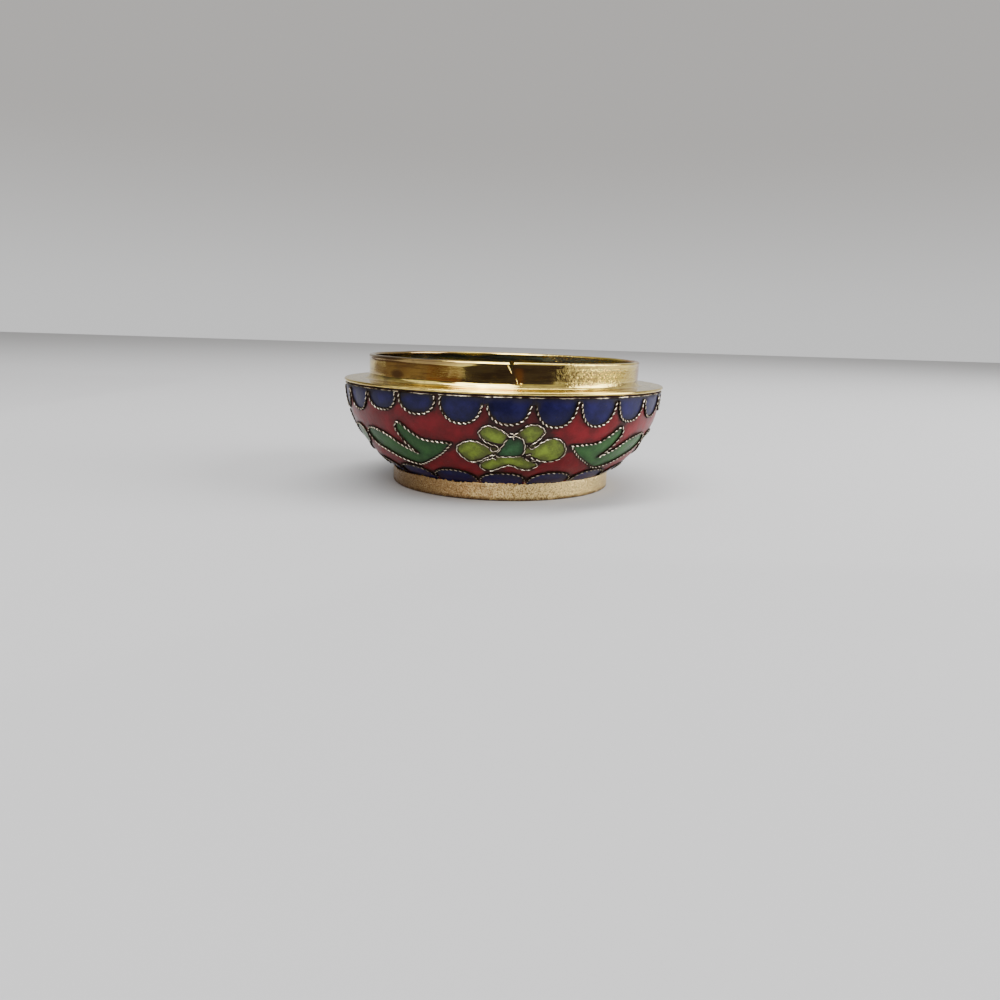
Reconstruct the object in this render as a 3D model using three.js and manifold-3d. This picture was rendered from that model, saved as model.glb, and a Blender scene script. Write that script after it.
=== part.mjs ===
// The lower half of a small round cloisonne trinket box, in millimetres, +Z up.
// The origin is on the box's axis, at the plane that it stands on. Azimuth 0 faces -Y, towards the
// flower on the front, and grows towards +X.
// Pieces: an enamelled copper bowl, a brass foot ring, a brass collar with a shoulder flange, a plain
// border wire under the shoulder, and the wires that fence off the enamel cells.
import * as THREE from "three";
import { mergeVertices } from "three/addons/utils/BufferGeometryUtils.js";
import Module from "manifold-3d";

const wasm = await Module();
wasm.setup();

// ---- driving dimensions ----
const SHOULDER_RADIUS = 22; // outer edge of the shoulder flange
const TURNS = 60; // flat sides in one turn of each lathed piece

// The bowl's outer wall is a quarter ellipse, swept round the axis.
const WALL_CENTRE_RADIUS = 6.65;
const WALL_CENTRE_Z = 13.9;
const WALL_HALF_WIDTH = 15.1;
const WALL_HALF_HEIGHT = 14;
const WALL_THICKNESS = 1.25; // copper with enamel on both faces
const BOWL_TOP_Z = 13.72;
const BOWL_BASE_Z = 1.5; // flat underside, inside the foot ring
const OUTER_STEPS = 8; // straight runs along the wall's curve
const INNER_STEPS = 5;

const FOOT_RADIUS = 15.2;
const FOOT_INNER_RADIUS = 13.95;
const FOOT_TOP_Z = 2.16;
const FOOT_INNER_TOP_Z = 1.4;
const FOOT_EDGE = 0.25; // worn lower edge
const FOOT_OFFSET_X = -0.12; // the ring was soldered a little off centre

const COLLAR_RADIUS = 18.6;
const COLLAR_WALL = 0.5;
const COLLAR_TOP_Z = 17.4;
const RIM_BEAD = 0.14; // how far the rolled rim stands out
const FLANGE_UNDER_Z = 13.8;
const FLANGE_TOP_Z = 14.18; // the flat seat that a lid would rest on
const COVE_RADIUS = 0.75; // hollow curve from the wall down to the flange
const COVE_STEPS = 3;

const NICK_AZIMUTH = 2.6;
const NICK_WIDTH = 0.58;
const NICK_DEPTH = 1.1;

// Wires: a ridge on a flat base, laid on the enamel with a hair's gap.
const WIRE_GAP = 0.04;
const WIRE_HEIGHT = 0.2;
const ROPE_HALF_WIDTH = 0.17; // tight two-strand rope
const PETAL_HALF_WIDTH = 0.13; // thinner wire round the petals
const BORDER_HALF_WIDTH = 0.12; // plain wire under the shoulder
const BORDER_DROP = 0.3;

// Azimuth and drop are the two coordinates on the wall: degrees round the axis, and millimetres
// down the wall from the bowl's top edge.
const WALL_MEAN_RADIUS = 14.3;

const UPPER_COUNT = 24;
const UPPER_FIRST_AZIMUTH = 1.9;
const UPPER_HALF_ANGLE = 6.85;
const UPPER_START_DROP = 0.55;
// The hand-bent scallops hang to slightly different depths; the run repeats three times.
const UPPER_DEPTHS = [3.45, 3.7, 3.7, 3.3, 3.1, 2.6, 2.7, 3.5];
const UPPER_ROUNDNESS = 2.3; // 2 is an ellipse, and more is squarer
const UPPER_STEPS = 10;

const LOWER_COUNT = 17;
const LOWER_FIRST_AZIMUTH = 0.8;
const LOWER_HALF_ANGLE = 9.9;
const LOWER_START_DROP = 13.0;
const LOWER_TOP_DROP = 10.95;
const LOWER_ROUNDNESS = 2.2;
const LOWER_STEPS = 7;

// Three flowers, each with a pair of forked leaves. The front one is laid a little wider.
const MOTIFS = [
  { azimuth: 3.5, spread: 1 },
  { azimuth: 124.75, spread: 0.94 },
  { azimuth: -117.75, spread: 0.94 },
];
const MOTIF_DROP = 6.6; // the flower's middle
const MOTIF_RADIUS = 20; // radius at which the motif's own x is measured

// Motif outlines: x to the right and y up from the flower's middle, in millimetres.
const CENTRE_OUTLINE = [
  [-1.5, -0.3], [-1.1, 0.4], [-0.3, 1.6], [1.0, 1.4], [1.5, 0.2], [1.2, -1.1], [-0.5, -1.35], [-1.8, -1.25],
];
const PETALS = {
  upper_left: [[-0.3, 1.6], [-1.4, 2.5], [-2.9, 2.95], [-3.85, 2.1], [-3.2, 1.05], [-2.2, 0.75], [-1.0, 0.5]],
  left: [
    [-1.45, -0.3], [-2.6, 0.15], [-3.8, 0.75], [-5.2, 0.8], [-6.5, 0.0], [-6.5, -1.1], [-5.3, -2.35],
    [-4.1, -2.2], [-2.9, -1.25], [-1.75, -0.9],
  ],
  upper_right: [
    [0.0, 1.55], [0.8, 2.5], [1.6, 3.1], [2.7, 3.15], [3.55, 2.4], [3.3, 1.45], [2.5, 0.9], [1.25, 0.7],
  ],
  right: [
    [1.5, 0.1], [2.4, 0.3], [3.4, 0.9], [4.7, 1.45], [5.9, 0.95], [6.7, -0.4], [6.3, -1.6], [5.1, -2.1],
    [4.0, -2.05], [2.7, -1.3], [1.3, -0.7],
  ],
  bottom: [
    [-1.5, -1.25], [-2.4, -2.0], [-3.6, -2.4], [-4.0, -3.2], [-3.4, -3.85], [-2.2, -3.8], [-0.9, -3.05],
    [0.1, -2.85], [1.2, -3.4], [2.4, -3.65], [3.3, -3.1], [3.2, -2.3], [2.2, -1.9], [1.0, -1.1],
  ],
};
// Each leaf is two wires that meet at the tip beside the flower and at the bottom of the fork.
const LEAF_NEAR_TIP = [7.2, 0.3];
const LEAF_FORK = [12.4, -1.8];
const UPPER_LOBE = [
  LEAF_FORK, [13.5, -0.55], [14.2, 0.5], [14.7, 1.75], [14.05, 2.6], [12.5, 1.5], [11.0, 0.6], [9.1, 0.4],
  LEAF_NEAR_TIP,
];
const LOWER_LOBE = [
  LEAF_NEAR_TIP, [8.7, -1.3], [10.8, -2.7], [12.75, -3.7], [14.3, -3.7], [16.4, -3.1], [18.4, -2.2],
  [20.4, -1.3], [21.4, 0.1], [20.5, 1.05], [18.9, 1.15], [16.6, 0.5], [14.8, -0.6], LEAF_FORK,
];

// ---- materials ----
const redEnamel = new THREE.MeshStandardMaterial({ color: 0x7c2a30, roughness: 0.3, metalness: 0 });
const polishedBrass = new THREE.MeshStandardMaterial({ color: 0xc09a55, roughness: 0.25, metalness: 1 });
const castBrass = new THREE.MeshStandardMaterial({ color: 0xb8935a, roughness: 0.55, metalness: 1 });
const giltWire = new THREE.MeshStandardMaterial({ color: 0xcdbb92, roughness: 0.35, metalness: 1 });

// ---- solids ----
function solidFrom(geometry) {
  const bare = geometry.clone();
  bare.deleteAttribute("normal");
  bare.deleteAttribute("uv");
  const merged = mergeVertices(bare, 1e-4);
  return new wasm.Manifold(
    new wasm.Mesh({
      numProp: 3,
      vertProperties: merged.getAttribute("position").array,
      triVerts: new Uint32Array(merged.index.array),
    }),
  );
}

function geometryFrom(solid) {
  const mesh = solid.getMesh();
  const positions = new THREE.BufferAttribute(new Float32Array(mesh.vertProperties), 3);
  const geometry = new THREE.BufferGeometry().setAttribute("position", positions);
  geometry.setIndex(new THREE.BufferAttribute(new Uint32Array(mesh.triVerts), 1));
  geometry.computeVertexNormals();
  return geometry;
}

const joined = (solids) => solids.reduce((whole, piece) => whole.add(piece));

// A profile of [radius, z] points, swept round +Z. The lathe's own axis is Y, so it is stood up after.
function lathed(profile) {
  const points = profile.map(([radius, z]) => new THREE.Vector2(radius, z));
  return new THREE.LatheGeometry(points, TURNS).rotateX(Math.PI / 2);
}

function named(name, geometry, material) {
  const mesh = new THREE.Mesh(geometry, material);
  mesh.name = name;
  return mesh;
}

// ---- the bowl's wall ----
// The wall's angle is 0 where the ellipse stands upright, at its widest, and grows downwards.
const angleAtZ = (z, halfHeight) => Math.asin((WALL_CENTRE_Z - z) / halfHeight);

// Points of the wall from angle `from` to angle `to`, `inset` inside the outer face.
function wallArc(from, to, steps, inset) {
  return Array.from({ length: steps + 1 }, (_, i) => {
    const angle = from + ((to - from) * i) / steps;
    return [
      WALL_CENTRE_RADIUS + (WALL_HALF_WIDTH - inset) * Math.cos(angle),
      WALL_CENTRE_Z - (WALL_HALF_HEIGHT - inset) * Math.sin(angle),
    ];
  });
}

const TOP_ANGLE = angleAtZ(BOWL_TOP_Z, WALL_HALF_HEIGHT);

// The point on the wall at an azimuth and a drop, raised `height` off the enamel.
function onWall(azimuth, drop, height) {
  const angle = TOP_ANGLE + drop / WALL_MEAN_RADIUS;
  const outward = new THREE.Vector2(Math.cos(angle) / WALL_HALF_WIDTH, -Math.sin(angle) / WALL_HALF_HEIGHT);
  outward.normalize();
  const radius = WALL_CENTRE_RADIUS + WALL_HALF_WIDTH * Math.cos(angle) + height * outward.x;
  const z = WALL_CENTRE_Z - WALL_HALF_HEIGHT * Math.sin(angle) + height * outward.y;
  const turn = THREE.MathUtils.degToRad(azimuth);
  return new THREE.Vector3(radius * Math.sin(turn), -radius * Math.cos(turn), z);
}

function bowl() {
  const inner = WALL_HALF_HEIGHT - WALL_THICKNESS;
  const floorZ = BOWL_BASE_Z + WALL_THICKNESS;
  const outerArc = wallArc(angleAtZ(BOWL_BASE_Z, WALL_HALF_HEIGHT), TOP_ANGLE, OUTER_STEPS, 0);
  const innerEnds = [angleAtZ(BOWL_TOP_Z, inner), angleAtZ(floorZ, inner)];
  const innerArc = wallArc(...innerEnds, INNER_STEPS, WALL_THICKNESS);
  return lathed([[0, BOWL_BASE_Z], ...outerArc, ...innerArc, [0, floorZ]]);
}

// ---- brass ----
function footRing() {
  const profile = [
    [FOOT_INNER_RADIUS, 0],
    [FOOT_RADIUS - FOOT_EDGE, 0],
    [FOOT_RADIUS, FOOT_EDGE],
    [FOOT_RADIUS, FOOT_TOP_Z],
    [FOOT_INNER_RADIUS, FOOT_INNER_TOP_Z],
  ];
  return lathed([...profile, profile[0]]);
}

function collar() {
  const inner = COLLAR_RADIUS - COLLAR_WALL;
  const edge = (FLANGE_TOP_Z - FLANGE_UNDER_Z) / 2;
  const cove = Array.from({ length: COVE_STEPS + 1 }, (_, i) => {
    const angle = (Math.PI / 2) * (i / COVE_STEPS);
    return [
      COLLAR_RADIUS + COVE_RADIUS * (1 - Math.sin(angle)),
      FLANGE_TOP_Z + COVE_RADIUS * (1 - Math.cos(angle)),
    ];
  });
  const rimZ = COLLAR_TOP_Z - COLLAR_WALL / 2 - RIM_BEAD;
  const profile = [
    [inner, FLANGE_UNDER_Z],
    [SHOULDER_RADIUS - edge / 2, FLANGE_UNDER_Z],
    [SHOULDER_RADIUS, FLANGE_UNDER_Z + edge],
    [SHOULDER_RADIUS - edge / 2, FLANGE_TOP_Z],
    ...cove,
    [COLLAR_RADIUS, rimZ - RIM_BEAD],
    [COLLAR_RADIUS + RIM_BEAD, rimZ + RIM_BEAD / 2],
    [COLLAR_RADIUS - COLLAR_WALL / 4, COLLAR_TOP_Z],
    [inner + COLLAR_WALL / 4, COLLAR_TOP_Z],
    [inner, rimZ + RIM_BEAD],
  ];
  return lathed([...profile, profile[0]]);
}

// A V-shaped nick filed or knocked into the rim: a wedge through the wall, point down.
function nickCutter() {
  const above = 0.5;
  const reach = 2 * COLLAR_WALL;
  const halfWidth = (NICK_WIDTH / 2) * ((NICK_DEPTH + above) / NICK_DEPTH);
  const wedge = new THREE.Shape([
    new THREE.Vector2(0, COLLAR_TOP_Z - NICK_DEPTH),
    new THREE.Vector2(halfWidth, COLLAR_TOP_Z + above),
    new THREE.Vector2(-halfWidth, COLLAR_TOP_Z + above),
  ]);
  return new THREE.ExtrudeGeometry(wedge, { depth: 2 * reach, bevelEnabled: false })
    .rotateX(Math.PI / 2)
    .translate(0, reach - COLLAR_RADIUS, 0)
    .rotateZ(THREE.MathUtils.degToRad(NICK_AZIMUTH));
}

function borderWire() {
  const section = [
    onWall(0, BORDER_DROP + BORDER_HALF_WIDTH, WIRE_GAP),
    onWall(0, BORDER_DROP, WIRE_HEIGHT),
    onWall(0, BORDER_DROP - BORDER_HALF_WIDTH, WIRE_GAP),
  ];
  const profile = section.map((point) => [-point.y, point.z]);
  return lathed([...profile, profile[0]]);
}

// ---- wires ----
// A wire along a path of [azimuth, drop] points: a three-sided bar with its flat side on the wall.
// It ends flat, or runs round into itself where it is closed.
function wireSolid(path, halfWidth, closed = false) {
  const base = path.map(([azimuth, drop]) => onWall(azimuth, drop, WIRE_GAP));
  const ridge = path.map(([azimuth, drop]) => onWall(azimuth, drop, WIRE_HEIGHT));
  const count = path.length;
  const at = (i) => (closed ? (i + count) % count : THREE.MathUtils.clamp(i, 0, count - 1));
  const positions = base.flatMap((point, i) => {
    const along = base[at(i + 1)].clone().sub(base[at(i - 1)]);
    const outward = ridge[i].clone().sub(point);
    const side = outward.cross(along).normalize().multiplyScalar(halfWidth);
    return [point.clone().add(side), point.clone().sub(side), ridge[i]].flatMap((corner) => corner.toArray());
  });
  const faces = [];
  for (let i = 0; i < (closed ? count : count - 1); i++) {
    [[0, 1], [1, 2], [2, 0]].forEach(([a, b]) => {
      const near = [3 * i + a, 3 * i + b];
      const far = [3 * at(i + 1) + a, 3 * at(i + 1) + b];
      faces.push([near[0], far[0], near[1]], [near[1], far[0], far[1]]);
    });
  }
  const last = 3 * (count - 1);
  if (!closed) faces.push([0, 1, 2], [last, last + 2, last + 1]);
  const geometry = new THREE.BufferGeometry();
  geometry.setAttribute("position", new THREE.Float32BufferAttribute(positions, 3));
  geometry.setIndex(faces.flat());
  return solidFrom(geometry);
}

// An arch of scallop wire: steep at both ends and round at the middle.
function archPath(azimuth, halfAngle, startDrop, middleDrop, roundness, steps) {
  return Array.from({ length: steps + 1 }, (_, i) => {
    const turn = Math.PI * (i / steps);
    const across = Math.cos(turn);
    const along = Math.sign(across) * Math.abs(across) ** (2 / roundness);
    const rise = Math.sin(turn) ** (2 / roundness);
    return [azimuth - halfAngle * along, startDrop + (middleDrop - startDrop) * rise];
  });
}

// A smooth line through motif points, put on the wall.
function motifPath(points, motif, mirror, steps) {
  const curve = new THREE.SplineCurve(points.map(([x, y]) => new THREE.Vector2(x, y)));
  return curve.getSpacedPoints(steps).map((point) => motifPoint(point.x, point.y, motif, mirror));
}

function motifPoint(x, y, motif, mirror) {
  const turn = THREE.MathUtils.radToDeg((mirror * x) / MOTIF_RADIUS) * motif.spread;
  return [motif.azimuth + turn, MOTIF_DROP - y];
}

function flowerWire(motif) {
  const ring = CENTRE_OUTLINE.map(([x, y]) => motifPoint(x, y, motif, 1));
  const petals = Object.values(PETALS).map((outline) =>
    wireSolid(motifPath(outline, motif, 1, outline.length + 4), PETAL_HALF_WIDTH),
  );
  return joined([wireSolid(ring, PETAL_HALF_WIDTH, true), ...petals]);
}

function leafWire(motif, mirror) {
  return joined(
    [UPPER_LOBE, LOWER_LOBE].map((outline) =>
      wireSolid(motifPath(outline, motif, mirror, outline.length + 2), ROPE_HALF_WIDTH),
    ),
  );
}

// ---- the box ----
const box = new THREE.Group();
box.add(named("enamel_bowl", bowl(), redEnamel));

const foot = named("foot_ring", footRing(), castBrass);
foot.position.x = FOOT_OFFSET_X;
box.add(foot);

const nickedCollar = geometryFrom(solidFrom(collar()).subtract(solidFrom(nickCutter())));
box.add(named("collar", nickedCollar, polishedBrass));
box.add(named("border_wire", borderWire(), giltWire));

for (let i = 0; i < UPPER_COUNT; i++) {
  const azimuth = UPPER_FIRST_AZIMUTH + (360 / UPPER_COUNT) * i;
  const depth = UPPER_DEPTHS[i % UPPER_DEPTHS.length];
  const path = archPath(azimuth, UPPER_HALF_ANGLE, UPPER_START_DROP, depth, UPPER_ROUNDNESS, UPPER_STEPS);
  box.add(named(`upper_scallop_wire_${i + 1}`, geometryFrom(wireSolid(path, ROPE_HALF_WIDTH)), giltWire));
}

for (let i = 0; i < LOWER_COUNT; i++) {
  const azimuth = LOWER_FIRST_AZIMUTH + (360 / LOWER_COUNT) * i;
  const path = archPath(azimuth, LOWER_HALF_ANGLE, LOWER_START_DROP, LOWER_TOP_DROP, LOWER_ROUNDNESS, LOWER_STEPS);
  box.add(named(`lower_scallop_wire_${i + 1}`, geometryFrom(wireSolid(path, ROPE_HALF_WIDTH)), giltWire));
}

MOTIFS.forEach((motif, i) => {
  box.add(named(`flower_wire_${i + 1}`, geometryFrom(flowerWire(motif)), giltWire));
  box.add(named(`right_leaf_wire_${i + 1}`, geometryFrom(leafWire(motif, 1)), giltWire));
  box.add(named(`left_leaf_wire_${i + 1}`, geometryFrom(leafWire(motif, -1)), giltWire));
});

export default box;
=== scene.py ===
"""The looks of the lower half of a small round cloisonne box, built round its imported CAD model."""
import math
import random

import bpy
import numpy as np
from mathutils import Matrix, Vector
from mathutils.kdtree import KDTree


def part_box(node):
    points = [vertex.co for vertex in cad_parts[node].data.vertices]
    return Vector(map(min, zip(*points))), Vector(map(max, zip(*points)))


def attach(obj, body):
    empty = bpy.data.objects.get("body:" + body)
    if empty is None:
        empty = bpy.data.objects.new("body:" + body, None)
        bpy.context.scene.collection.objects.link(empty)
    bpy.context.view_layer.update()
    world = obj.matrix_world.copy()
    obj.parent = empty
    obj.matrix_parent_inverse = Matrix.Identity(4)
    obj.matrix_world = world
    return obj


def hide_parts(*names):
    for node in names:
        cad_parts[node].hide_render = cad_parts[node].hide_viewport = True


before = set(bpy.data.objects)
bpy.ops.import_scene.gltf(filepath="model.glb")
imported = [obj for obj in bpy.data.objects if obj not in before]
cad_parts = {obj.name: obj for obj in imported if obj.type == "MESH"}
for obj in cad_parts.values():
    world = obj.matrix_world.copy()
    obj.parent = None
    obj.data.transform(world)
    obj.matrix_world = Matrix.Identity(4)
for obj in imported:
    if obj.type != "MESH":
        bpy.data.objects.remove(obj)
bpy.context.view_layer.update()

MM = 0.001
hand = random.Random(17)  # the unevenness of hand work, the same on every run

# ---- sizes, in metres; azimuths in degrees, 0 at the front and growing towards +X ----
bowl_low, bowl_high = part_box("enamel_bowl")
foot_low, foot_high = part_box("foot_ring")
collar_low, collar_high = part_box("collar")
SHOULDER_RADIUS = collar_high.x
BOWL_TOP_Z = bowl_high.z
BOWL_BASE_Z = bowl_low.z
FOOT_RADIUS = (foot_high.x - foot_low.x) / 2
FOOT_OFFSET = (foot_high.x + foot_low.x) / 2
COLLAR_TOP_Z = collar_high.z
FLANGE_UNDER_Z = collar_low.z

# The bowl's outer wall is a quarter ellipse, swept round the axis.
WALL_CENTRE_RADIUS = 6.65 * MM
WALL_CENTRE_Z = 13.9 * MM
WALL_HALF_WIDTH = 15.1 * MM
WALL_HALF_HEIGHT = 14 * MM
WALL_THICKNESS = 1.25 * MM
WALL_MEAN_RADIUS = 14.3 * MM  # turns a drop down the wall into an angle
TOP_ANGLE = math.asin((WALL_CENTRE_Z - BOWL_TOP_Z) / WALL_HALF_HEIGHT)
WALL_LENGTH = 14.6 * MM  # from the top edge down to where the foot ring hides the wall

COLLAR_RADIUS = 18.6 * MM
COLLAR_WALL = 0.5 * MM
FLANGE_TOP_Z = 14.18 * MM
COVE_RADIUS = 0.75 * MM
NICK_AZIMUTH = 2.6
FOOT_INNER_RADIUS = 13.95 * MM

CELL_THICKNESS = 0.2 * MM
CELL_BED = 0.14 * MM  # how far the red ground is sunk under the cells
GROUND_REACH = 1.4 * MM  # dirt gathers where wires are within this of each other
CELL_REACH = 0.8 * MM

LINE_STEP = 0.12 * MM  # between the points along each wire's line
WIRE_HEIGHT = 0.07 * MM  # of each wire's middle, off the wall

# A rope is painted dark, as grime and shade, up to one height off the wall, and bright from a second height
# up.
ROPE_RADIUS = 0.165 * MM
ROPE_PITCH = 1.28 * MM
ROPE_DARK = 0.16 * MM
ROPE_BRIGHT = 0.215 * MM
LOW_ROPE_BRIGHT = 0.245 * MM  # the lower scallops' ropes are the darkest, with the most grime and painted shade
PETAL_WIRE_RADIUS = 0.10 * MM
PETAL_WIRE_PITCH = 1.7 * MM
PETAL_WIRE_DARK = 0.09 * MM
PETAL_WIRE_BRIGHT = 0.15 * MM

UPPER_COUNT = 24
UPPER_FIRST_AZIMUTH = 1.9
UPPER_HALF_ANGLE = 6.85
UPPER_DEPTHS = [3.45, 3.7, 3.7, 3.3, 3.1, 2.6, 2.7, 3.5]
UPPER_ROUNDNESS = 2.3
UPPER_ARCH_START = 0.25  # of the whole arch, in millimetres down the wall

# Most neighbours lean together at the top. At these tops, given as a scallop and its side (-1 for left
# and 1 for right), they keep apart or stop short.
OPEN_TOPS = {(21, 1), (22, -1), (22, 1), (23, -1), (9, 1), (10, -1), (15, 1), (16, -1)}
LOW_TOPS = {(23, 1), (0, -1), (0, 1), (1, -1), (6, 1), (7, -1), (12, 1), (13, -1)}
OPEN_START, CLOSED_START, LOW_START = 0.2, 0.55, 1.05  # where a rope starts, in millimetres down the wall
OPEN_LEAN, CLOSED_LEAN = -0.65, 0.30  # in degrees, towards the neighbour
LEAN_REACH = 1.1 * MM

LOWER_COUNT = 17
LOWER_FIRST_AZIMUTH = 0.8
LOWER_HALF_ANGLE = 9.9
LOWER_START_DROP = 13.0 * MM
LOWER_TOP_DROP = 10.95 * MM
LOWER_ROUNDNESS = 2.2

MOTIFS = [
    {"azimuth": 3.5, "spread": 1.0},
    {"azimuth": 124.75, "spread": 0.94},
    {"azimuth": -117.75, "spread": 0.94},
]
MOTIF_DROP = 6.6 * MM
MOTIF_RADIUS = 20 * MM
DEGREE_LENGTH = math.radians(1) * MOTIF_RADIUS  # of one degree round the wall

# Motif outlines: x to the right and y up from the flower's middle, in millimetres.
CENTRE_OUTLINE = [
    (-1.5, -0.3), (-1.1, 0.4), (-0.3, 1.6), (1.0, 1.4), (1.5, 0.2), (1.2, -1.1), (-0.5, -1.35),
    (-1.8, -1.25),
]
PETALS = [
    [(-0.3, 1.6), (-1.4, 2.5), (-2.9, 2.95), (-3.85, 2.1), (-3.2, 1.05), (-2.2, 0.75), (-1.0, 0.5)],
    [
        (-1.45, -0.3), (-2.6, 0.15), (-3.8, 0.75), (-5.2, 0.8), (-6.5, 0.0), (-6.5, -1.1), (-5.3, -2.35),
        (-4.1, -2.2), (-2.9, -1.25), (-1.75, -0.9),
    ],
    [(0.0, 1.55), (0.8, 2.5), (1.6, 3.1), (2.7, 3.15), (3.55, 2.4), (3.3, 1.45), (2.5, 0.9), (1.25, 0.7)],
    [
        (1.5, 0.1), (2.4, 0.3), (3.4, 0.9), (4.7, 1.45), (5.9, 0.95), (6.7, -0.4), (6.3, -1.6), (5.1, -2.1),
        (4.0, -2.05), (2.7, -1.3), (1.3, -0.7),
    ],
    [
        (-1.5, -1.25), (-2.4, -2.0), (-3.6, -2.4), (-4.0, -3.2), (-3.4, -3.85), (-2.2, -3.8), (-0.9, -3.05),
        (0.1, -2.85), (1.2, -3.4), (2.4, -3.65), (3.3, -3.1), (3.2, -2.3), (2.2, -1.9), (1.0, -1.1),
    ],
]
# The flower's wires follow the petals but curl, overshoot and double up at the inner ends.
FLOWER_BENDS = [
    [(-0.35, 1.6), (-1.4, 2.5), (-2.9, 2.95), (-3.85, 2.1), (-3.5, 1.25), (-3.0, 0.75), (-2.3, 0.45),
     (-1.75, 0.26), (-1.6, -0.06), (-1.85, -0.5), (-2.35, -0.5), (-2.6, -0.2), (-2.45, -0.02)],
    [(-2.7, 0.05), (-3.2, 0.32), (-3.95, 0.72), (-5.2, 0.8), (-6.5, 0.0), (-6.5, -1.1), (-5.3, -2.35),
     (-4.1, -2.2), (-2.9, -1.43), (-2.4, -1.2), (-1.7, -0.9)],
    [(0.15, 1.25), (0.05, 1.7), (0.8, 2.45), (1.6, 3.1), (2.7, 3.15), (3.6, 2.4), (3.2, 1.5), (2.6, 0.85),
     (2.05, 0.45)],
    [(1.75, 0.5), (2.1, 0.05), (2.5, 0.0), (2.95, 0.4), (3.5, 0.95), (4.7, 1.45), (5.9, 0.95), (6.7, -0.4),
     (6.3, -1.6), (5.1, -2.1), (4.0, -2.05), (3.1, -1.75), (2.4, -1.45)],
    [(-1.9, -1.8), (-2.3, -1.65), (-3.4, -2.1), (-4.0, -2.75), (-3.75, -3.65), (-2.6, -3.95), (-1.6, -3.45),
     (-0.7, -2.95), (0.1, -2.85), (1.2, -3.4), (2.4, -3.65), (3.35, -3.1), (3.5, -2.6), (2.75, -2.05)],
    [(-0.35, 2.05), (0.0, 2.0), (0.15, 1.75)],
    [(1.4, -1.25), (1.95, -1.75), (2.5, -1.95), (3.2, -1.9)],
    [(1.75, -1.1), (2.0, -0.97), (2.3, -0.9)],
]
LEAF_NEAR_TIP = (7.2, 0.3)
LEAF_FORK = (12.4, -1.8)
UPPER_LOBE = [
    LEAF_FORK, (13.5, -0.55), (14.2, 0.5), (14.7, 1.75), (14.05, 2.6), (12.5, 1.5), (11.0, 0.6), (9.1, 0.4),
    LEAF_NEAR_TIP,
]
LOWER_LOBE = [
    LEAF_NEAR_TIP, (8.7, -1.3), (10.8, -2.7), (12.75, -3.7), (14.3, -3.7), (16.4, -3.1), (18.4, -2.2),
    (20.4, -1.3), (21.4, 0.1), (20.5, 1.05), (18.9, 1.15), (16.6, 0.5), (14.8, -0.6), LEAF_FORK,
]


# ---- shader maths ----
class Signal:
    """A shader socket that takes part in Python arithmetic."""

    def __init__(self, finish, socket):
        self.finish, self.socket = finish, socket

    def math(self, operation, *others, first=None):
        """A sum with this signal, which comes first unless another value is given first."""
        values = [self if first is None else first, *(others if first is None else [self])]
        return self.finish.add("Math", dict(enumerate(values)), operation=operation)

    def __add__(self, other):
        return self.math("ADD", other)

    __radd__ = __add__

    def __sub__(self, other):
        return self.math("SUBTRACT", other)

    def __rsub__(self, other):
        return self.math("SUBTRACT", first=other)

    def __mul__(self, other):
        return self.math("MULTIPLY", other)

    __rmul__ = __mul__

    def __truediv__(self, other):
        return self.math("DIVIDE", other)

    def __pow__(self, other):
        return self.math("POWER", other)

    def clamp(self):
        return self.finish.add("Clamp", {"Value": self})

    def between(self, low, high):
        """0 below low and 1 above high, with a smooth step from one to the other."""
        inputs = {"Value": self, "From Min": low, "From Max": high}
        return self.finish.add("MapRange", inputs, interpolation_type="SMOOTHSTEP")


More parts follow.
